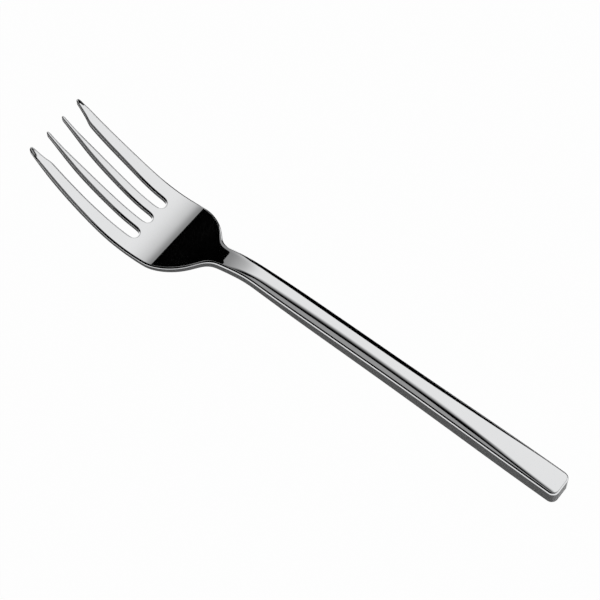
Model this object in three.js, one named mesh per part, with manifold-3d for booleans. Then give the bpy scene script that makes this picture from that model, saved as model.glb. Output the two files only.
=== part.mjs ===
// A one-piece stainless-steel salad fork with four tines, modelled in millimetres.
// The fork lies as on a table: +X runs from the tine tips to the end of the handle, +Y is one
// side and +Z is up. The origin is on the table, under the middle of the fork's length and width.
// Distances along the fork are measured from the tine tips and are called "along" below.

import * as THREE from 'three';
import { mergeVertices } from 'three/addons/utils/BufferGeometryUtils.js';
import Module from 'manifold-3d';

const { degToRad, smoothstep, lerp } = THREE.MathUtils;

// Lengths along the fork
const overallLength = 184;
const slotRootAt = 34.6;       // where the straight slots end and their round roots begin
const bowlAt = 39.2;           // deepest point of the bowl
const palmEndAt = 63;          // plane between the palm and the neck
const handleStartAt = 84;      // plane between the neck and the handle

// Side view: the top line of the rim, as tangent arcs and lines
const bowlRadius = 30;
const tineRise = degToRad(26.8);    // slope where the bowl's arc hands over to the tines' arc
const tineSweepRadius = 115;
const neckSlope = degToRad(20.3);
const crestRadius = 17.5;
const crestHeight = 12.15;
const handleDroop = degToRad(2.5);  // slope of the top line where the handle begins

// Thickness of the steel
const tipThickness = 1.6;
const tineThickness = 2.45;
const tineThicknessAt = 9;
const bowlThickness = 2.1;
const handleStartThickness = 3.4;
const endThickness = 4.9;
const crownHeight = 0.95;      // how far the handle's top stands above its edges
const crownStartAt = 66;
const crownFullAt = 106;
const crownFadeAt = 132;
const endCrownHeight = 0.15;
const edgeChamfer = 0.35;
const chamferShare = 0.25;     // most of a section's width or thickness that one chamfer takes

// Plan view: half-widths and radii
const headWidth = 26.1;
const headWidestAt = 33;
const headSideRadius = 355;
const shoulderStartAt = 43.5;
const shoulderRadius = 19.3;
const shoulderFillet = 6;
const neckWidth = 6.9;
const waistWidth = 6.1;
const waistAt = 74;
const gripWidth = 6.6;
const gripWidthAt = 88;
const middleWidth = 7.0;
const middleWidthAt = 130;
const endWidth = 8.1;
const endWidthFromEnd = 5;
const endCornerRadius = 2.1;

// Tines, as distances from the fork's centre line
const innerTipAt = 0.5;
const innerTipOffset = 3.47;
const innerTipRadius = 0.55;
const innerMidAt = 14;
const innerMidInside = 2.14;
const innerMidOutside = 4.62;
const innerRootInside = 1.52;
const innerRootOutside = 4.82;
const outerTipRadius = 0.8;
const outerRootInside = 8.1;
const outerKneeInside = 8.65;
const outerKneeAt = 7.8;
const outerStraightAt = 17;    // from here the inside edge runs parallel to the fork as far as the knee

// How finely the curves are divided
const stationStep = 1.5;
const palmStationStep = 0.75;
const handleStationStep = 4;
const tipSteps = 5;
const tipFlatTurn = degToRad(10);   // a tip's round starts this far round, behind a tiny flat
const crownSteps = 8;
const rootSegments = 24;
const cutterReach = 5;         // how far the slot root cutters run past the steel

const steelColour = 0xc8cacc;
const steelRoughness = 0.12;

const wasm = await Module();
wasm.setup();

// How far an arc of this radius has fallen away from its tangent at a distance from where it touches.
function arcDrop(radius, distance) {
  return radius - Math.sqrt(radius * radius - distance * distance);
}

// A smooth line through [along, value] points, flat at its two ends, read at one place along the fork.
function smoothLine(points, along) {
  const last = points.length - 1;
  if (along <= points[0][0]) {
    return points[0][1];
  }
  if (along >= points[last][0]) {
    return points[last][1];
  }
  const tangent = (i) => {
    if (i === 0 || i === last) {
      return 0;
    }
    return (points[i + 1][1] - points[i - 1][1]) / (points[i + 1][0] - points[i - 1][0]);
  };
  const i = points.findIndex((point) => point[0] > along) - 1;
  const [a, valueA] = points[i];
  const [b, valueB] = points[i + 1];
  const span = b - a;
  const t = (along - a) / span;
  const blend = t * t * (3 - 2 * t);
  const leave = t * (1 - t) * (1 - t) * span * tangent(i);
  const arrive = t * t * (t - 1) * span * tangent(i + 1);
  return lerp(valueA, valueB, blend) + leave + arrive;
}

// Where the arcs and lines of the side view meet.
const tineArcAt = bowlAt - bowlRadius * Math.sin(tineRise);
const tineArcHeight = bowlThickness + bowlRadius * (1 - Math.cos(tineRise));
const tineCentreAt = tineArcAt + tineSweepRadius * Math.sin(tineRise);
const tineCentreHeight = tineArcHeight + tineSweepRadius * Math.cos(tineRise);
const neckLineAt = bowlAt + bowlRadius * Math.sin(neckSlope);
const neckLineHeight = bowlThickness + bowlRadius * (1 - Math.cos(neckSlope));
const crestArcHeight = crestHeight - crestRadius * (1 - Math.cos(neckSlope));
const crestArcAt = neckLineAt + (crestArcHeight - neckLineHeight) / Math.tan(neckSlope);
const crestAt = crestArcAt + crestRadius * Math.sin(neckSlope);
const handleLineAt = crestAt + crestRadius * Math.sin(handleDroop);
const handleLineHeight = crestHeight - crestRadius * (1 - Math.cos(handleDroop));

// Height of the rim's top edge. The handle's part is a gentle bow that ends one thickness above the table.
function topHeight(along) {
  if (along < tineArcAt) {
    const reach = tineCentreAt - along;
    return tineCentreHeight - Math.sqrt(tineSweepRadius * tineSweepRadius - reach * reach);
  }
  if (along < neckLineAt) {
    return bowlThickness + arcDrop(bowlRadius, along - bowlAt);
  }
  if (along < crestArcAt) {
    return neckLineHeight + (along - neckLineAt) * Math.tan(neckSlope);
  }
  if (along < handleLineAt) {
    return crestHeight - arcDrop(crestRadius, along - crestAt);
  }
  const run = along - handleLineAt;
  const fullRun = overallLength - handleLineAt;
  const straightFall = fullRun * Math.tan(handleDroop);
  const bow = handleLineHeight - endThickness - straightFall;
  return handleLineHeight - run * Math.tan(handleDroop) - bow * (run / fullRun) ** 2;
}

const handleStartBottom = topHeight(handleStartAt) - handleStartThickness;

// Height of the underside. Under the handle it is one straight plane down to the table.
function bottomHeight(along) {
  if (along >= handleStartAt) {
    const share = (along - handleStartAt) / (overallLength - handleStartAt);
    return handleStartBottom * (1 - share);
  }
  const thickness = smoothLine([
    [0, tipThickness],
    [tineThicknessAt, tineThickness],
    [bowlAt, bowlThickness],
    [handleStartAt, handleStartThickness],
  ], along);
  return topHeight(along) - thickness;
}

// Height of the crown above the top edges.
function crown(along) {
  const rise = smoothstep(along, crownStartAt, crownFullAt);
  const fade = smoothstep(along, crownFadeAt, overallLength);
  return rise * lerp(crownHeight, endCrownHeight, fade);
}

// The shoulder's arc and the fillet that leads it into the neck.
const shoulderCentreOffset = headWidth / 2 - shoulderRadius;
const filletCentreOffset = neckWidth / 2 + shoulderFillet;
const centreDistance = shoulderRadius + shoulderFillet;
const filletRise = filletCentreOffset - shoulderCentreOffset;
const filletEndAt = shoulderStartAt + Math.sqrt(centreDistance ** 2 - filletRise ** 2);
const filletStartAt = lerp(shoulderStartAt, filletEndAt, shoulderRadius / centreDistance);

// Half-width of the neck and the handle, with the corners of the end rounded off.
function barHalfWidth(along) {
  const width = smoothLine([
    [filletEndAt, neckWidth],
    [waistAt, waistWidth],
    [gripWidthAt, gripWidth],
    [middleWidthAt, middleWidth],
    [overallLength - endWidthFromEnd, endWidth],
  ], along);
  const intoCorner = Math.max(0, along - (overallLength - endCornerRadius));
  return width / 2 - arcDrop(endCornerRadius, intoCorner);
}

// Half-width of the fork from the tine tips to the end of the handle.
function halfWidth(along) {
  if (along < headWidestAt) {
    return headWidth / 2 - arcDrop(headSideRadius, headWidestAt - along);
  }
  if (along < shoulderStartAt) {
    return headWidth / 2;
  }
  if (along < filletStartAt) {
    return headWidth / 2 - arcDrop(shoulderRadius, along - shoulderStartAt);
  }
  if (along < filletEndAt) {
    return neckWidth / 2 + arcDrop(shoulderFillet, filletEndAt - along);
  }
  return barHalfWidth(along);
}

// Places along the fork from one plane to another, no further apart than a step.
function stations(from, to, step) {
  const count = Math.ceil((to - from) / step);
  return Array.from({ length: count + 1 }, (unused, i) => lerp(from, to, i / count));
}

function point(along, offset, height) {
  return new THREE.Vector3(along - overallLength / 2, offset, height);
}

// A ring of the section across the fork: flat sides, chamfered edges and a crowned top.
function sectionRing(along, low, high, crownAt) {
  const bottom = bottomHeight(along);
  const top = topHeight(along);
  const chamfer = Math.min(edgeChamfer, chamferShare * (high - low), chamferShare * (top - bottom));
  const ring = [
    point(along, low + chamfer, bottom),
    point(along, high - chamfer, bottom),
    point(along, high, bottom + chamfer),
    point(along, high, top - chamfer),
  ];
  const steps = crownAt === undefined ? 1 : crownSteps;
  for (let i = 0; i <= steps; i += 1) {
    const across = 1 - 2 * i / steps;
    const offset = lerp(low + chamfer, high - chamfer, (1 + across) / 2);
    const lift = crownAt === undefined ? 0 : crownAt * (1 - across * across);
    ring.push(point(along, offset, top + lift));
  }
  ring.push(point(along, low, top - chamfer));
  ring.push(point(along, low, bottom + chamfer));
  return ring;
}

// A closed solid through rings of equal count, each drawn anticlockwise as seen from the handle's end.
function loft(rings) {
  const count = rings[0].length;
  const indices = [];
  for (let r = 0; r + 1 < rings.length; r += 1) {
    for (let i = 0; i < count; i += 1) {
      const a = r * count + i;
      const b = r * count + (i + 1) % count;
      indices.push(a, b, b + count, a, b + count, a + count);
    }
  }
  const lastRing = (rings.length - 1) * count;
  for (let i = 1; i + 1 < count; i += 1) {
    indices.push(0, i + 1, i);
    indices.push(lastRing, lastRing + i, lastRing + i + 1);
  }
  const geometry = new THREE.BufferGeometry().setFromPoints(rings.flat());
  geometry.setIndex(indices);
  geometry.computeVertexNormals();
  return geometry;
}

function toSolid(geometry) {
  const bare = geometry.clone();
  bare.deleteAttribute('normal');
  bare.deleteAttribute('uv');
  const merged = mergeVertices(bare);
  return new wasm.Manifold(new wasm.Mesh({
    numProp: 3,
    vertProperties: new Float32Array(merged.attributes.position.array),
    triVerts: new Uint32Array(merged.index.array),
  }));
}

function toGeometry(solid) {
  const mesh = solid.getMesh();
  const geometry = new THREE.BufferGeometry();
  geometry.setAttribute('position', new THREE.BufferAttribute(mesh.vertProperties, mesh.numProp));
  geometry.setIndex(new THREE.BufferAttribute(mesh.triVerts, 1));
  geometry.computeVertexNormals();
  return geometry;
}

function polishedSteel() {
  return new THREE.MeshStandardMaterial({ color: steelColour, roughness: steelRoughness, metalness: 1 });
}

function part(name, geometry) {
  const mesh = new THREE.Mesh(geometry, polishedSteel());
  mesh.name = name;
  return mesh;
}

// Places along a tine: close together round its tip, then evenly to the slot root.
function tineStations(tipAt, tipRadius) {
  const round = Array.from({ length: tipSteps }, (unused, i) => {
    const turn = lerp(tipFlatTurn, Math.PI / 2, i / tipSteps);
    return tipAt + tipRadius * (1 - Math.cos(turn));
  });
  return round.concat(stations(tipAt + tipRadius, slotRootAt, stationStep));
}

// Half the width that the tip's round end leaves at a place along the tine.
function tipHalfWidth(tipAt, tipRadius, along) {
  const back = Math.max(0, tipAt + tipRadius - along);
  return Math.sqrt(Math.max(0, tipRadius * tipRadius - back * back));
}

// A slim tine beside the middle slot, tapering from its root to a round point.
function innerTine(name, side) {
  const tipCentreAt = innerTipAt + innerTipRadius;
  const inside = [
    [tipCentreAt, innerTipOffset - innerTipRadius],
    [innerMidAt, innerMidInside],
    [slotRootAt, innerRootInside],
  ];
  const outside = [
    [tipCentreAt, innerTipOffset + innerTipRadius],
    [innerMidAt, innerMidOutside],
    [slotRootAt, innerRootOutside],
  ];
  const rings = tineStations(innerTipAt, innerTipRadius).map((along) => {
    const trim = innerTipRadius - tipHalfWidth(innerTipAt, innerTipRadius, along);
    const near = side * (smoothLine(inside, along) + trim);
    const far = side * (smoothLine(outside, along) - trim);
    return sectionRing(along, Math.min(near, far), Math.max(near, far));
  });
  return part(name, loft(rings));
}

// A wide tine at the edge of the head. From the knee its inside edge is cut back to a narrow point.
function outerTine(name, side) {
  const tipOutside = halfWidth(outerTipRadius);
  const rings = tineStations(0, outerTipRadius).map((along) => {
    const trim = outerTipRadius - tipHalfWidth(0, outerTipRadius, along);
    const straight = smoothLine([[outerStraightAt, outerKneeInside], [slotRootAt, outerRootInside]], along);
    const cut = 1 - smoothstep(along, outerTipRadius, outerKneeAt);
    const near = side * (lerp(straight, tipOutside - 2 * outerTipRadius, cut) + trim);
    const far = side * (halfWidth(along) - trim);
    return sectionRing(along, Math.min(near, far), Math.max(near, far));
  });
  return part(name, loft(rings));
}

// A vertical round cutter, centred where a slot's straight sides end, that leaves the slot's round root.
function slotRootCutter(lowSide, highSide) {
  const radius = (highSide - lowSide) / 2;
  const height = 2 * (topHeight(slotRootAt) + cutterReach);
  const cutter = new THREE.CylinderGeometry(radius, radius, height, rootSegments);
  cutter.rotateX(Math.PI / 2);
  const centre = point(slotRootAt, (lowSide + highSide) / 2, 0);
  cutter.translate(centre.x, centre.y, centre.z);
  return toSolid(cutter);
}

// The bowl of the fork with its shoulders, and the round roots of the three slots cut into it.
function palm() {
  const rings = stations(slotRootAt, palmEndAt, palmStationStep).map((along) => {
    const width = halfWidth(along);
    return sectionRing(along, -width, width);
  });
  let solid = toSolid(loft(rings));
  const slots = [
    [-outerRootInside, -innerRootOutside],
    [-innerRootInside, innerRootInside],
    [innerRootOutside, outerRootInside],
  ];
  for (const [lowSide, highSide] of slots) {
    solid = solid.subtract(slotRootCutter(lowSide, highSide));
  }
  return part('palm', toGeometry(solid));
}

// A stretch of the bar behind the head, with its crowned top.
function bar(name, places) {
  const rings = places.map((along) => {
    const width = halfWidth(along);
    return sectionRing(along, -width, width, crown(along));
  });
  return part(name, loft(rings));
}

function neck() {
  return bar('neck', stations(palmEndAt, handleStartAt, stationStep));
}

// The handle, with extra places along the rounded corners of its end.
function handle() {
  const cornerAt = overallLength - endCornerRadius;
  const corner = Array.from({ length: tipSteps }, (unused, i) => {
    return cornerAt + endCornerRadius * Math.sin((i + 1) / tipSteps * Math.PI / 2);
  });
  return bar('handle', stations(handleStartAt, cornerAt, handleStationStep).concat(corner));
}

const fork = new THREE.Group();
fork.name = 'fork';
fork.add(handle(), neck(), palm());
for (const [sideName, side] of [['left', 1], ['right', -1]]) {
  fork.add(innerTine(`tine_inner_${sideName}`, side));
  fork.add(outerTine(`tine_outer_${sideName}`, side));
}

export default fork;
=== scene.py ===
# A salad fork of polished stainless steel, held level with its tines up.
# +X runs from the tine tips to the end of the handle, +Y is one side and +Z is up.

import math

import bmesh
import bpy
from mathutils import Matrix, Vector


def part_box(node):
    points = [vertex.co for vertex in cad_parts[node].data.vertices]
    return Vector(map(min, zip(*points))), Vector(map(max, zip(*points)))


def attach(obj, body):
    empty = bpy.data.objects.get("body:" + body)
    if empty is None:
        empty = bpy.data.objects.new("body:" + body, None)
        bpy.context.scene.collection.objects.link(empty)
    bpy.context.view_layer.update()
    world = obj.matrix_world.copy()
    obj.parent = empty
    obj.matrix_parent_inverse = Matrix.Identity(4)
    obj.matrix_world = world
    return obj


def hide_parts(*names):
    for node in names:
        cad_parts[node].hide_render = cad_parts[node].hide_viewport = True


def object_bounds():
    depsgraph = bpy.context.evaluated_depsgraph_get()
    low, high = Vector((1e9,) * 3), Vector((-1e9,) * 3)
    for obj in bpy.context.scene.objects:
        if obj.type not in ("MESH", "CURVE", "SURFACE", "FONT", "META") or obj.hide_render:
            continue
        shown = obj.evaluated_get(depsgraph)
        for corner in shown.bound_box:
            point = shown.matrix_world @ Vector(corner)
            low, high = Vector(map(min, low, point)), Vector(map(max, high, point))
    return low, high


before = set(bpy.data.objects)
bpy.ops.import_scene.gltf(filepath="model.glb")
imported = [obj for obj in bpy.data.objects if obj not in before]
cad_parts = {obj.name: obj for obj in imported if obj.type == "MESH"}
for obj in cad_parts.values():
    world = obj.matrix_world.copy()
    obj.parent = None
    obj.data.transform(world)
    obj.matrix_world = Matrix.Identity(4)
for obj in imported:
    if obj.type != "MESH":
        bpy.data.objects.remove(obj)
cad_low, cad_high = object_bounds()


# Palm
# The shallow bowl of the head, with its round shoulders. The whole fork is one bar of stainless steel,
# rolled out, blanked, pressed to its curves, trimmed along its sides and polished, so its five kinds of
# pieces are zones of one skin. Places along the fork are measured from the tine tips.
mm = 0.001
half_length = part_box("handle")[1].x
fork_length = 2 * half_length
slot_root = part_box("palm")[0].x + half_length
palm_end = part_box("palm")[1].x + half_length
head_half_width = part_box("palm")[1].y
head_widest_at = 33 * mm
head_side_radius = 355 * mm
shoulder_start = 43.5 * mm
shoulder_radius = 19.3 * mm
shoulder_fillet = 6 * mm
bowl_radius = 30 * mm
bowl_thickness = 2.1 * mm
bowl_bottom = (39.2 * mm, bowl_thickness, 0)


# Neck
# The slim part that rises from the bowl to the handle. The press bends it up sharply at its foot, and it
# runs straight up to a long soft curve at its top, where the crown of the handle begins.
neck_half_width = 3.45 * mm
neck_slope = math.radians(20.1)
neck_top_at = 63.6 * mm
neck_top_radius = 48 * mm
bend_slope = math.radians(9.5)
bend_radius = 8 * mm


def arc_end(start, radius, slope):
    """Place, height and slope where an arc has turned to a slope. A negative radius bends downwards."""
    along, height, start_slope = start
    return (along + radius * (math.sin(slope) - math.sin(start_slope)),
            height + radius * (math.cos(start_slope) - math.cos(slope)), slope)


bend_start = arc_end(bowl_bottom, bowl_radius, bend_slope)
neck_foot = arc_end(bend_start, bend_radius, neck_slope)
neck_rise = (neck_top_at - neck_foot[0]) * math.tan(neck_slope)
neck_top = (neck_top_at, neck_foot[1] + neck_rise, neck_slope)


# Handle
# A solid bar with flat ground sides, a flat underside and a polished crown, which is round along the
# grip and flattens out towards the blunt end. The bar widens a little towards that end.
handle_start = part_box("handle")[0].x + half_length
crest_slope = math.radians(9.2)
crest_radius = 24 * mm
handle_droop = math.radians(2.5)
handle_start_thickness = 3.4 * mm
end_thickness = 4.9 * mm
end_corner_radius = 2.1 * mm
bar_half_widths = ((74 * mm, 3.2 * mm), (88 * mm, 3.48 * mm), (130 * mm, 3.62 * mm),
                   (fork_length - 5 * mm, 4.17 * mm))
crown_heights = ((54 * mm, 0), (64 * mm, 0.26 * mm), (70 * mm, 0.42 * mm), (80 * mm, 0.8 * mm),
                 (100 * mm, 0.98 * mm), (140 * mm, 0.95 * mm), (156 * mm, 0.83 * mm),
                 (172 * mm, 0.55 * mm), (fork_length, 0.42 * mm))
crown_powers = ((64 * mm, 9), (72 * mm, 4), (80 * mm, 2.05), (142 * mm, 2), (156 * mm, 2.6),
                (170 * mm, 4.6), (fork_length, 7.2))
crown_inset = 0.32 * mm
side_draft = 0.15 * mm
side_draft_full_at = 95 * mm
crest_start = arc_end(neck_top, -neck_top_radius, crest_slope)
handle_foot = arc_end(crest_start, -crest_radius, -handle_droop)


def share_between(value, low, high):
    """Smooth share from 0 at low to 1 at high."""
    share = min(1, max(0, (value - low) / (high - low)))
    return share * share * (3 - 2 * share)


def between(start, end, share):
    """The value at a share of the way from start to end."""
    return start + (end - start) * share


def smooth_line(points, along):
    """A smooth line through (along, value) points, flat at its two ends."""
    last = len(points) - 1
    if along <= points[0][0]:
        return points[0][1]
    if along >= points[last][0]:
        return points[last][1]
    i = next(k for k in range(last) if along < points[k + 1][0])

    def tangent(k):
        if k in (0, last):
            return 0
        return (points[k + 1][1] - points[k - 1][1]) / (points[k + 1][0] - points[k - 1][0])

    span = points[i + 1][0] - points[i][0]
    share = (along - points[i][0]) / span
    leave = share * (1 - share) * (1 - share) * span * tangent(i)
    arrive = share * share * (share - 1) * span * tangent(i + 1)
    return between(points[i][1], points[i + 1][1], share_between(share, 0, 1)) + leave + arrive


def crown(along, offset):
    """How far the handle's top stands above its edges. It is round, and flatter at its two ends."""
    reach = min(abs(offset), half_width(along) - rim_width(along))
    share = reach / (half_width(along) - crown_inset)
    return smooth_line(crown_heights, along) * (1 - share ** smooth_line(crown_powers, along))


# Inner tines
# Two slim tines that taper to blunt points and sweep up from the bowl. Blanking cuts the slots beside
# them, and their sides stay straight while the press curves them with the rest of the head.
tine_rise = math.radians(26.8)
tine_sweep_radius = 115 * mm
tine_foot = arc_end(bowl_bottom, bowl_radius, -tine_rise)
tip_thickness = 1.5 * mm
tine_thickness = 2.42 * mm
tine_thickness_at = 9 * mm
inner_tip_at = 1.05 * mm
inner_tip_offset = 3.47 * mm
inner_tip_radius = 0.55 * mm
inner_tip_reach = 0.6 * mm
inner_middle_at = 14 * mm
inner_middle_inside = 2.08 * mm
inner_middle_outside = 4.68 * mm
inner_root_inside = 1.52 * mm
inner_root_outside = 4.82 * mm


def inner_tine_edges(along):
    """Inside and outside edge of an inner tine, as distances from the centre line."""
    inside = smooth_line([
        (inner_tip_at, inner_tip_offset - inner_tip_radius),
        (inner_middle_at, inner_middle_inside),
        (slot_root, inner_root_inside),
    ], along)
    outside = smooth_line([
        (inner_tip_at, inner_tip_offset + inner_tip_radius),
        (inner_middle_at, inner_middle_outside),
        (slot_root, inner_root_outside),
    ], along)
    return inside, outside


# Outer tines
# Two wide tines whose outside runs on from the head's side. Their inside is cut back from a knee to the
# tip when the blank is cut, so that each ends in an off-centre point. Polishing has worn down the outer
# corner of that point.
outer_tip_at = 0.9 * mm
outer_tip_inside = 9.98 * mm
outer_tip_reach = 0.5 * mm
outer_cut_end = 1.2 * mm
outer_cut_hollow = 0.62
outer_knee_at = 6.1 * mm
outer_knee_inside = 8.59 * mm
outer_straight_at = 17 * mm
outer_root_inside = 8.1 * mm
tip_bevel_width = 1.15 * mm
tip_bevel_slope = math.radians(23)
tip_bevel_full_to = 2.7 * mm
tip_bevel_end = 3.8 * mm


def outer_tine_edges(along):
    """Inside and outside edge of an outer tine, whose inside is cut back from the knee to the tip."""
    straight = smooth_line([
        (outer_straight_at, outer_knee_inside),
        (slot_root, outer_root_inside),
    ], along)
    cut = min(1, max(0, (outer_knee_at - along) / (outer_knee_at - outer_cut_end)))
    return between(straight, outer_tip_inside, cut ** outer_cut_hollow), half_width(along)


def tip_bevel(along, offset):
    """How far polishing has worn down the outer corner of an outer tine near its tip."""
    reach = max(0, abs(offset) - half_width(along) + tip_bevel_width)
    fade = 1 - share_between(along, tip_bevel_full_to, tip_bevel_end)
    return reach * math.tan(tip_bevel_slope) * fade


# Skin
# The surface of the whole fork, as one sheet of faces over the top, the trimmed sides and the underside,
# so that reflections run on over the zones without a break. Grinding leaves the sides flat with a
# sharp lower edge, and polishing wears the upper edge down to a narrow sloping rim.
fillet_rise = neck_half_width + shoulder_fillet - head_half_width + shoulder_radius
fillet_reach = shoulder_radius + shoulder_fillet
fillet_end = shoulder_start + math.sqrt(fillet_reach ** 2 - fillet_rise ** 2)
fillet_start = between(shoulder_start, fillet_end, shoulder_radius / fillet_reach)


def arc_drop(radius, distance):
    """How far an arc has fallen away from its tangent at a distance from where it touches."""
    return radius - math.sqrt(radius * radius - distance * distance)


def half_width(along):
    """Half-width of the outline, with the handle's end left square."""
    if along < head_widest_at:
        return head_half_width - arc_drop(head_side_radius, head_widest_at - along)
    if along < shoulder_start:
        return head_half_width
    if along < fillet_start:
        return head_half_width - arc_drop(shoulder_radius, along - shoulder_start)
    if along < fillet_end:
        return neck_half_width + arc_drop(shoulder_fillet, fillet_end - along)
    return smooth_line(((fillet_end, neck_half_width),) + bar_half_widths, along)


def top_height(along):
    """Height of the top's edge above the table: arcs and lines, each running on from the one before."""
    if along > handle_foot[0]:
        run = along - handle_foot[0]
        full_run = fork_length - handle_foot[0]
        straight = handle_foot[1] - run * math.tan(handle_droop)
        bow = handle_foot[1] - end_thickness - full_run * math.tan(handle_droop)
        return straight - bow * (run / full_run) ** 2
    start, radius = tine_foot, tine_sweep_radius
    for place, place_radius in ((tine_foot, bowl_radius), (bend_start, bend_radius), (neck_foot, None),
                                (neck_top, -neck_top_radius), (crest_start, -crest_radius)):
        if along > place[0]:
            start, radius = place, place_radius
    at, height, slope = start
    if radius is None:
        return height + (along - at) * math.tan(slope)
    turned = math.asin(math.sin(slope) + (along - at) / radius)
    return height + radius * (math.cos(slope) - math.cos(turned))


def bottom_height(along):
    """Height of the underside, which is one straight plane under the handle."""
    if along >= handle_start:
        start = top_height(handle_start) - handle_start_thickness
        return start * (fork_length - along) / (fork_length - handle_start)
    return top_height(along) - smooth_line([
        (0, tip_thickness),
        (tine_thickness_at, tine_thickness),
        (bowl_bottom[0], bowl_thickness),
        (handle_start, handle_start_thickness),
    ], along)


rim_widths = ((2 * mm, 0.4 * mm), (8 * mm, 0.54 * mm), (slot_root, 0.5 * mm), (handle_start, 0.46 * mm))
rim_depths = ((2 * mm, 0.4 * mm), (8 * mm, 0.54 * mm), (slot_root, 0.5 * mm), (handle_start, 0.75 * mm))


def rim_width(along):
    """Width of the polished rim, which is narrow at the tips of the tines."""
    return smooth_line(rim_widths, along)


def rim_depth(along):
    """Depth of the polished rim, which is largest along the handle."""
    return smooth_line(rim_depths, along)


# The grid has these lines on each side of the centre line: 0 to 2 across half the middle slot, 2 to 4
# the inner tine, 4 to 8 the outer slot and 8 to 12 the outer tine.
inner_tine_lines = (2, 3, 4)
outer_tine_lines = (8, 9, 10, 11, 12)
line_count = outer_tine_lines[-1]
tine_rows, palm_rows, neck_rows, handle_rows = 22, 18, 14, 32
row_count = tine_rows + palm_rows + neck_rows + handle_rows
tine_row_crowding = 1.25
handle_row_crowding = 1.5
slot_turn = math.sqrt(0.5)
root_fade = 8 * mm
end_fade = 12 * mm
edge_column = 0.66 * mm
corner_steps = 3
flat_lines = line_count - corner_steps
flat_share = 0.5
middle_root_radius = inner_root_inside
outer_root_radius = (outer_root_inside - inner_root_outside) / 2
outer_root_centre = (outer_root_inside + inner_root_outside) / 2
root_lines = (
    0,
    middle_root_radius * slot_turn,
    inner_root_inside,
    (inner_root_inside + inner_root_outside) / 2,
    inner_root_outside,
    outer_root_centre - outer_root_radius * slot_turn,
    outer_root_centre,
    outer_root_centre + outer_root_radius * slot_turn,
    outer_root_inside,
    between(outer_root_inside, head_half_width, 1 / 4),
    between(outer_root_inside, head_half_width, 2 / 4),
    between(outer_root_inside, head_half_width, 3 / 4),
    head_half_width,
)
root_bulges = {
    0: middle_root_radius,
    1: middle_root_radius * slot_turn,
    5: outer_root_radius * slot_turn,
    6: outer_root_radius,
    7: outer_root_radius * slot_turn,
}


def tine_point(row, line):
    """Place of a grid point on a tine, as along and offset. The first row is pushed out to a tip."""
    inner = line in inner_tine_lines
    tip_at = inner_tip_at if inner else outer_tip_at
    along = between(tip_at, slot_root, (row / tine_rows) ** tine_row_crowding)
    lines = inner_tine_lines if inner else outer_tine_lines
    inside, outside = inner_tine_edges(along) if inner else outer_tine_edges(along)
    offset = between(inside, outside, (line - lines[0]) / (lines[-1] - lines[0]))
    if row == 0 and line not in (lines[0], lines[-1]):
        along -= inner_tip_reach if inner else outer_tip_reach
    return along, offset


def corner_point(width, towards_end, towards_side):
    """Place of a grid point in the round corner of the handle's end, drawn out from its centre."""
    reach = max(towards_end, towards_side)
    turn = math.radians(45) * min(towards_end, towards_side) / reach
    if towards_side > towards_end:
        turn = math.radians(90) - turn
    return (fork_length - end_corner_radius * (1 - reach * math.cos(turn)),
            width - end_corner_radius * (1 - reach * math.sin(turn)))


def body_point(row, line):
    """Place of a grid point on the palm, the neck or the handle."""
    rows_left, lines_left = row_count - row, line_count - line
    if row <= tine_rows + palm_rows:
        along = between(slot_root, palm_end, (row - tine_rows) / palm_rows)
    elif row <= tine_rows + palm_rows + neck_rows:
        along = between(palm_end, handle_start, (row - tine_rows - palm_rows) / neck_rows)
    elif rows_left >= corner_steps:
        share = (rows_left - corner_steps) / (handle_rows - corner_steps)
        along = between(fork_length - end_corner_radius, handle_start, share ** handle_row_crowding)
    else:
        along = fork_length - end_corner_radius * rows_left / corner_steps
    fade = 1 - share_between(along, slot_root, slot_root + root_fade)
    along += root_bulges.get(line, 0) * fade
    width = half_width(along)
    if rows_left < corner_steps and lines_left < corner_steps:
        return corner_point(width, 1 - rows_left / corner_steps, 1 - lines_left / corner_steps)
    end_share = share_between(along, fork_length - end_fade, fork_length - end_corner_radius)
    flat_half_width = between(width * flat_share, width - end_corner_radius, end_share)
    bar_offset = flat_half_width * line / flat_lines
    if lines_left < corner_steps:
        column = between(edge_column, end_corner_radius / corner_steps, end_share)
        bar_offset = width - column * lines_left
    head_offset = root_lines[line] * width / head_half_width
    return along, between(head_offset, bar_offset, share_between(along, slot_root, palm_end))


def in_slot(row, line):
    """Whether a grid face, given by its middle, is one of those that the slots leave out."""
    in_middle_slot = line < inner_tine_lines[0]
    in_outer_slot = inner_tine_lines[-1] < line < outer_tine_lines[0]
    return row < tine_rows and (in_middle_slot or in_outer_slot)


grid_half = 0.5
skin = bmesh.new()
# Marks the flat sides, which get grinding lines and a darker steel colour as painted shade.
grind_and_painted_shade = skin.verts.layers.float.new("grind_and_painted_shade")
rim_drop = skin.verts.layers.float.new("rim_drop")
bmesh.ops.create_grid(skin, x_segments=row_count, y_segments=2 * line_count, size=grid_half)
for vert in skin.verts:
    vert.co = ((vert.co.x + grid_half) * row_count, vert.co.y * 2 * line_count, 0)
slots = [face for face in skin.faces
         if in_slot(face.calc_center_median().x, abs(face.calc_center_median().y))]
bmesh.ops.delete(skin, geom=slots, context="FACES")
for vert in skin.verts:
    row, line = round(vert.co.x), round(vert.co.y)
    tine = row < tine_rows
    along, offset = tine_point(row, abs(line)) if tine else body_point(row, abs(line))
    vert.co = (along - half_length, math.copysign(offset, line), 0)

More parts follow.
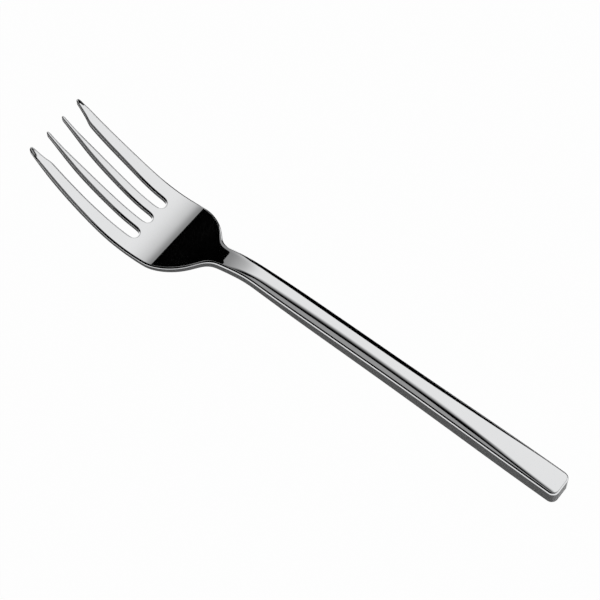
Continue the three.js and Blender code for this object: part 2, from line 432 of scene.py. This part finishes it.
# The rim is drawn in three times round the whole outline: a ring just inside it that keeps the top flat,
# one at the top of its slope, and one where the slope turns into the side.
drawn_width = 0.4 * mm
rim_slope = math.radians(44)
ring_shares = (0, 0.2, 1, 1.15)
for share in reversed(ring_shares[1:]):
    bmesh.ops.inset_region(skin, faces=skin.faces[:], thickness=drawn_width * share,
                           use_even_offset=True, use_boundary=True)
ring_of = {vert: 0 for vert in skin.verts if vert.is_boundary}
outline_of = {vert: vert for vert in ring_of}
for ring in range(1, len(ring_shares)):
    for vert in [vert for vert, found in ring_of.items() if found == ring - 1]:
        for edge in vert.link_edges:
            inner = edge.other_vert(vert)
            if inner not in ring_of:
                ring_of[inner] = ring
                outline_of[inner] = outline_of[vert]
for vert, outline in outline_of.items():
    along = outline.co.x + half_length
    ring = ring_of[vert]
    if ring == 0:
        vert[rim_drop] = rim_depth(along)
    if ring == 1:
        vert[rim_drop] = rim_width(along) * (1 - ring_shares[1]) * math.tan(rim_slope)
    vert.co = outline.co + (vert.co - outline.co) * rim_width(along) / drawn_width

# The sheet is drawn up from the underside, whose edge stays sharp. Each side is cut twice lengthwise to
# hold it flat, and along the handle it leans out a little towards the underside.
edge_share = 0.25
side_cuts = 2
side_margin = 0.2 * mm
smoothing_levels = 2


def crowned_height(place):
    """Height of the polished top, without its rim."""
    along = place.x + half_length
    return top_height(along) + crown(along, place.y) - tip_bevel(along, place.y)


def side_top(place):
    """Height where the rim ends and the flat side begins."""
    return crowned_height(place) - rim_depth(place.x + half_length)


pressed = bmesh.ops.extrude_face_region(skin, geom=skin.faces[:])
top_verts = {item for item in pressed["geom"] if isinstance(item, bmesh.types.BMVert)}
for vert in skin.verts:
    if vert in top_verts:
        vert.co.z = crowned_height(vert.co) - vert[rim_drop]
    else:
        vert.co.z = bottom_height(vert.co.x + half_length) + vert[rim_drop] * edge_share
for vert, outline in outline_of.items():
    vert.co.xy = outline.co.xy.lerp(vert.co.xy, edge_share)
uprights = [edge for edge in skin.edges if (edge.verts[0] in top_verts) != (edge.verts[1] in top_verts)]
split = bmesh.ops.subdivide_edges(skin, edges=uprights, cuts=side_cuts, use_grid_fill=True)
for vert in split["geom_split"]:
    if isinstance(vert, bmesh.types.BMVert):
        along = vert.co.x + half_length
        low = bottom_height(along) + rim_depth(along) * edge_share
        upper = vert.co.z > (low + side_top(vert.co)) / 2
        vert[grind_and_painted_shade] = 1
        vert.co.z = side_top(vert.co) - side_margin if upper else low + side_margin
for vert in skin.verts:
    along = vert.co.x + half_length
    side_height = side_top(vert.co) - bottom_height(along)
    lean = side_draft * share_between(along, neck_top_at, side_draft_full_at) / half_width(along)
    vert.co.y *= 1 + lean * min(1, max(0, (side_top(vert.co) - vert.co.z) / side_height))
skin.verts.layers.float.remove(rim_drop)
bmesh.ops.recalc_face_normals(skin, faces=skin.faces[:])

skin_mesh = bpy.data.meshes.new("skin")
skin.to_mesh(skin_mesh)
skin.free()
skin_object = bpy.data.objects.new("skin", skin_mesh)
bpy.context.scene.collection.objects.link(skin_object)
smoothing = skin_object.modifiers.new("smoothing", "SUBSURF")
smoothing.levels = smoothing.render_levels = smoothing_levels
smoothed = skin_object.evaluated_get(bpy.context.evaluated_depsgraph_get())
forging = bpy.data.meshes.new_from_object(smoothed)
bpy.data.objects.remove(skin_object)
for face in forging.polygons:
    face.use_smooth = True


# Steel
# Stainless steel with a bright mirror polish, in which the polishing wheel has left faint hairlines
# along the fork. The ground sides are rougher and show the lines of the grinding belt, and their darker
# colour is painted shade, standing in for the dark reflections on the sides.
steel_colours = ((0.735, 0.74, 0.746, 1), (0.775, 0.779, 0.784, 1))
# Painted shade: the flat sides take this darker steel, standing in for the dark reflections they show.
painted_side_shade_colour = (0.66, 0.665, 0.67, 1)
polish_roughness = (0.022, 0.05)
ground_roughness = (0.1, 0.18)
noise_limits = (0.3, 0.7)
cloud_scale = 60
cloud_detail = 2
hairline_scale = (90, 7000, 7000)
hairline_detail = 3
hairline_depth = 0.0004 * mm
polish_hairline_share = 0.03


def polished_steel():
    """Mirror-polished steel with faint hairlines along the fork, and rougher sides in painted shade."""
    steel = bpy.data.materials.new("polished_steel")
    steel.use_nodes = True
    nodes = steel.node_tree.nodes
    links = steel.node_tree.links
    shader = nodes["Principled BSDF"]
    shader.inputs["Metallic"].default_value = 1
    place = nodes.new("ShaderNodeTexCoord")
    ground_and_shaded_sides = nodes.new("ShaderNodeAttribute")
    ground_and_shaded_sides.attribute_name = "grind_and_painted_shade"
    clouds = nodes.new("ShaderNodeTexNoise")
    clouds.inputs["Scale"].default_value = cloud_scale
    clouds.inputs["Detail"].default_value = cloud_detail
    links.new(place.outputs["Object"], clouds.inputs["Vector"])
    stretch = nodes.new("ShaderNodeMapping")
    stretch.inputs["Scale"].default_value = hairline_scale
    links.new(place.outputs["Object"], stretch.inputs["Vector"])
    hairlines = nodes.new("ShaderNodeTexNoise")
    hairlines.inputs["Scale"].default_value = 1
    hairlines.inputs["Detail"].default_value = hairline_detail
    links.new(stretch.outputs["Vector"], hairlines.inputs["Vector"])

    tone = nodes.new("ShaderNodeValToRGB")
    tone.color_ramp.elements[0].color, tone.color_ramp.elements[1].color = steel_colours
    links.new(clouds.outputs["Fac"], tone.inputs["Fac"])
    # Painted shade: the flat sides are mixed to a darker steel colour.
    colour = nodes.new("ShaderNodeMixRGB")
    colour.inputs["Color2"].default_value = painted_side_shade_colour
    links.new(ground_and_shaded_sides.outputs["Fac"], colour.inputs["Fac"])
    links.new(tone.outputs["Color"], colour.inputs["Color1"])
    links.new(colour.outputs["Color"], shader.inputs["Base Color"])

    def spread(source, source_limits, limits):
        """Spreads a value over new limits."""
        spread_node = nodes.new("ShaderNodeMapRange")
        inputs = spread_node.inputs
        inputs["From Min"].default_value, inputs["From Max"].default_value = source_limits
        inputs["To Min"].default_value, inputs["To Max"].default_value = limits
        links.new(source, inputs["Value"])
        return spread_node.outputs["Result"]

    roughness = nodes.new("ShaderNodeMix")
    links.new(ground_and_shaded_sides.outputs["Fac"], roughness.inputs["Factor"])
    links.new(spread(clouds.outputs["Fac"], noise_limits, polish_roughness), roughness.inputs["A"])
    links.new(spread(hairlines.outputs["Fac"], noise_limits, ground_roughness), roughness.inputs["B"])
    links.new(roughness.outputs["Result"], shader.inputs["Roughness"])
    relief = nodes.new("ShaderNodeBump")
    relief.inputs["Distance"].default_value = hairline_depth
    hairline_share = spread(ground_and_shaded_sides.outputs["Fac"], (0, 1), (polish_hairline_share, 1))
    links.new(hairline_share, relief.inputs["Strength"])
    links.new(hairlines.outputs["Fac"], relief.inputs["Height"])
    links.new(relief.outputs["Normal"], shader.inputs["Normal"])
    return steel


# Zones
# Each zone is cut out of the skin at a plain plane across the fork and closed there. On the real fork
# these planes are not seams: the zones only carry the names of its pieces.
steel = polished_steel()
cut_tolerance = 0.002 * mm
zone_margin = 1 * mm


def cut_zone(node):
    """Cuts the zone of one node out of the forging, closes the cuts and puts it on the fork."""
    low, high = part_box(node)
    zone = bmesh.new()
    zone.from_mesh(forging)
    cuts = []
    if low.x > cad_low.x + zone_margin:
        cuts.append((low.x, -1))
    if high.x < cad_high.x - zone_margin:
        cuts.append((high.x, 1))
    for place, outward in cuts:
        cut = bmesh.ops.bisect_plane(
            zone, geom=zone.verts[:] + zone.edges[:] + zone.faces[:], dist=cut_tolerance,
            plane_co=(place, 0, 0), plane_no=(outward, 0, 0), clear_outer=True)
        edges = [item for item in cut["geom_cut"] if isinstance(item, bmesh.types.BMEdge)]
        for cap in bmesh.ops.edgeloop_fill(zone, edges=edges)["faces"]:
            cap.smooth = False
        for edge in edges:
            edge.smooth = False
    beside = [vert for vert in zone.verts if not low.y - zone_margin < vert.co.y < high.y + zone_margin]
    bmesh.ops.delete(zone, geom=beside, context="VERTS")
    bmesh.ops.recalc_face_normals(zone, faces=zone.faces[:])
    mesh = bpy.data.meshes.new("fork_" + node)
    zone.to_mesh(mesh)
    zone.free()
    mesh.materials.append(steel)
    piece = bpy.data.objects.new("fork_" + node, mesh)
    bpy.context.scene.collection.objects.link(piece)
    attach(piece, "root")
    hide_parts(node)


for node in ("handle", "neck", "palm", "tine_inner_left", "tine_inner_right",
             "tine_outer_left", "tine_outer_right"):
    cut_zone(node)


# Studio
# The fork is held high above a round pale floor with a low wall, so that no shadow touches it. One bent
# sheet of diffuser lights it from above and from the far side, with dark cloths beside it. Cards on the
# floor and two standing panels, all outside the picture, darken the fork's sides.
floor_depth = 0.8
floor_radius = 6
wall_height = 1.5
floor_colour = (0.9, 0.9, 0.9, 1)
floor_white_share = 0.98
floor_roughness = 0.9
floor_sides = 64


def calculation(tree, operation, first, second):
    """A Math node that takes two values."""
    step = tree.nodes.new("ShaderNodeMath")
    step.operation = operation
    tree.links.new(first, step.inputs[0])
    tree.links.new(second, step.inputs[1])
    return step


def pale_paint():
    """Floor paint that the camera and reflections see as white, with a little of its own shade."""
    paint = bpy.data.materials.new("floor_paint")
    paint.use_nodes = True
    tree = paint.node_tree
    shader = tree.nodes["Principled BSDF"]
    shader.inputs["Base Color"].default_value = floor_colour
    shader.inputs["Roughness"].default_value = floor_roughness
    white = tree.nodes.new("ShaderNodeEmission")
    white.inputs["Strength"].default_value = 1
    path = tree.nodes.new("ShaderNodeLightPath").outputs
    seen = calculation(tree, "ADD", path["Is Camera Ray"], path["Is Glossy Ray"])
    seen_through = calculation(tree, "ADD", seen.outputs[0], path["Is Transmission Ray"])
    seen_through.use_clamp = True
    white_share = tree.nodes.new("ShaderNodeMath")
    white_share.operation = "MULTIPLY"
    white_share.inputs[1].default_value = floor_white_share
    tree.links.new(seen_through.outputs[0], white_share.inputs[0])
    mixed = tree.nodes.new("ShaderNodeMixShader")
    tree.links.new(white_share.outputs[0], mixed.inputs["Fac"])
    tree.links.new(shader.outputs[0], mixed.inputs[1])
    tree.links.new(white.outputs[0], mixed.inputs[2])
    tree.links.new(mixed.outputs[0], tree.nodes["Material Output"].inputs["Surface"])
    return paint


def put_on_stage(name, shape, material):
    """Makes a finished shape a piece of the studio, which is no part of the fork."""
    mesh = bpy.data.meshes.new(name)
    shape.to_mesh(mesh)
    shape.free()
    mesh.materials.append(material)
    staged = bpy.data.objects.new(name, mesh)
    bpy.context.scene.collection.objects.link(staged)


floor = bmesh.new()
bmesh.ops.create_circle(floor, cap_ends=True, segments=floor_sides, radius=floor_radius,
                        matrix=Matrix.Translation((0, 0, -floor_depth)))
wall = bmesh.ops.extrude_edge_only(floor, edges=floor.edges[:])
bmesh.ops.translate(floor, vec=(0, 0, wall_height),
                    verts=[item for item in wall["geom"] if isinstance(item, bmesh.types.BMVert)])
put_on_stage("floor", floor, pale_paint())


def matte(name, level):
    """Dull cloth or card of one grey."""
    material = bpy.data.materials.new(name)
    material.use_nodes = True
    shader = material.node_tree.nodes["Principled BSDF"]
    shader.inputs["Base Color"].default_value = (level, level, level, 1)
    shader.inputs["Roughness"].default_value = 1
    shader.inputs["Specular IOR Level"].default_value = 0
    return material


# The diffuser and the black and grey cloths, as angles from straight up towards +Y and places along X
black_level = 0.002
grey_level = 0.35
sheet_steps = 32
tent_radius = 1.3
tent_reach = (-2.8, 2.4)
light_start = -1.763
light_full_from = -0.25
light_start_level = 0.3
near_light_angle = math.radians(-11.4)
near_full_angle = math.radians(9.6)
far_light_angle = math.radians(62.5)
far_flag_end = math.radians(80)
top_flag_end = math.radians(-18)
near_flag_angles = (math.radians(-86), math.radians(-38))
near_flag_break = 0.27


def diffuser_cloth():
    """Glowing cloth that dims towards its start and its near edge."""
    cloth = bpy.data.materials.new("diffuser")
    cloth.use_nodes = True
    tree = cloth.node_tree
    tree.nodes.remove(tree.nodes["Principled BSDF"])
    place = tree.nodes.new("ShaderNodeTexCoord")
    axes = tree.nodes.new("ShaderNodeSeparateXYZ")
    tree.links.new(place.outputs["Object"], axes.inputs[0])

    def rise(source, start, end, start_level):
        """A smooth rise to full light between two values."""
        light = tree.nodes.new("ShaderNodeMapRange")
        light.interpolation_type = "SMOOTHSTEP"
        light.inputs["From Min"].default_value = start
        light.inputs["From Max"].default_value = end
        light.inputs["To Min"].default_value = start_level
        tree.links.new(source, light.inputs["Value"])
        return light.outputs["Result"]

    along_light = rise(axes.outputs["X"], light_start, light_full_from, light_start_level)
    angle = calculation(tree, "ARCTAN2", axes.outputs["Y"], axes.outputs["Z"])
    across_light = rise(angle.outputs[0], near_light_angle, near_full_angle, 0)
    level = calculation(tree, "MULTIPLY", along_light, across_light)
    glow = tree.nodes.new("ShaderNodeEmission")
    tree.links.new(level.outputs[0], glow.inputs["Strength"])
    tree.links.new(glow.outputs[0], tree.nodes["Material Output"].inputs["Surface"])
    return cloth


def bent_sheet(name, angles, reach, material):
    """A sheet bent round the fork's length, between two angles."""
    sheet = bmesh.new()
    y, z = tent_radius * math.sin(angles[0]), tent_radius * math.cos(angles[0])
    edge = sheet.edges.new([sheet.verts.new((x, y, z)) for x in reach])
    bmesh.ops.spin(sheet, geom=[edge] + list(edge.verts), cent=(0, 0, 0), axis=(-1, 0, 0),
                   angle=angles[1] - angles[0], steps=sheet_steps)
    put_on_stage(name, sheet, material)


black_cloth = matte("black_cloth", black_level)
grey_cloth = matte("grey_cloth", grey_level)
light_angles = (near_light_angle, far_light_angle)
bent_sheet("diffuser", light_angles, (light_start, tent_reach[1]), diffuser_cloth())
bent_sheet("diffuser_end", light_angles, (tent_reach[0], light_start), black_cloth)
bent_sheet("far_flag", (far_light_angle, far_flag_end), tent_reach, black_cloth)
bent_sheet("top_flag", (top_flag_end, near_light_angle), tent_reach, black_cloth)
bent_sheet("near_flag", near_flag_angles, (tent_reach[0], near_flag_break), black_cloth)
bent_sheet("near_cloth", near_flag_angles, (near_flag_break, tent_reach[1]), grey_cloth)

# Cards on the floor, with their corners and, in the loop, their greys
card_thickness = 0.002
card_height = card_thickness - floor_depth
near_card_corners = ((-0.8, -0.8), (0.7, -0.8), (0.7, -0.21), (-0.8, -0.21))
root_card_corners = ((-0.8, -0.21), (-0.4, -0.21), (-0.4, 0.12), (-0.8, 0.12))
end_card_corners = ((0.4, -0.21), (0.7, -0.21), (0.7, 0.6), (0.21, 0.6), (0.21, 0.22), (0.4, 0.22))
far_card_corners = ((-0.53, 0.72), (0.8, 0.72), (0.8, 3.8), (-1.55, 3.8), (-1.55, 2.45), (-0.53, 1.05))
for name, grey, corners in (("near_card", 0.36, near_card_corners), ("root_card", 0.1, root_card_corners),
                            ("end_card", 0.55, end_card_corners), ("far_card", 0.03, far_card_corners)):
    card = bmesh.new()
    card.faces.new([card.verts.new((x, y, card_height)) for x, y in corners])
    put_on_stage(name, card, matte(name, grey))

# Black panels that stand on the floor behind the far card
panel_at = 3.85
panel_top = 0.7
panel_reach = (0.66, 2.4)
for name, side in (("left_panel", -1), ("right_panel", 1)):
    panel = bmesh.new()
    foot = panel.edges.new([panel.verts.new((side * x, panel_at, card_height)) for x in panel_reach])
    raised = bmesh.ops.extrude_edge_only(panel, edges=[foot])
    bmesh.ops.translate(panel, vec=(0, 0, panel_top - card_height),
                        verts=[item for item in raised["geom"] if isinstance(item, bmesh.types.BMVert)])
    put_on_stage(name, panel, black_cloth)

room_grey = (0.38, 0.38, 0.38, 1)
world = bpy.data.worlds.new("studio")
bpy.context.scene.world = world
world.use_nodes = True
world.node_tree.nodes["Background"].inputs["Color"].default_value = room_grey
world.node_tree.nodes["Background"].inputs["Strength"].default_value = 1


# Camera
# It looks down on the fork from the near side and from beyond the handle. Its long lens stands far enough
# away to keep the fork's sides almost parallel.
view_azimuth = math.radians(37.0)
view_elevation = math.radians(60.4)
view_distance = 708.4 * mm
aim_right = -0.238 * mm
aim_up = 6.54 * mm
lens = 145.14
sensor_width = 36
back = Vector((math.sin(view_azimuth) * math.cos(view_elevation),
               -math.cos(view_azimuth) * math.cos(view_elevation),
               math.sin(view_elevation)))
right = Vector((math.cos(view_azimuth), math.sin(view_azimuth), 0))
up = back.cross(right)
camera = bpy.data.objects.new("camera", bpy.data.cameras.new("camera"))
bpy.context.scene.collection.objects.link(camera)
camera.data.lens = lens
camera.data.sensor_width = sensor_width
camera_place = Matrix.Translation(back * view_distance + right * aim_right + up * aim_up)
camera_turn = Matrix((right, up, back)).transposed().to_4x4()
camera.matrix_world = camera_place @ camera_turn
bpy.context.scene.camera = camera
bpy.context.scene.view_settings.view_transform = "Standard"
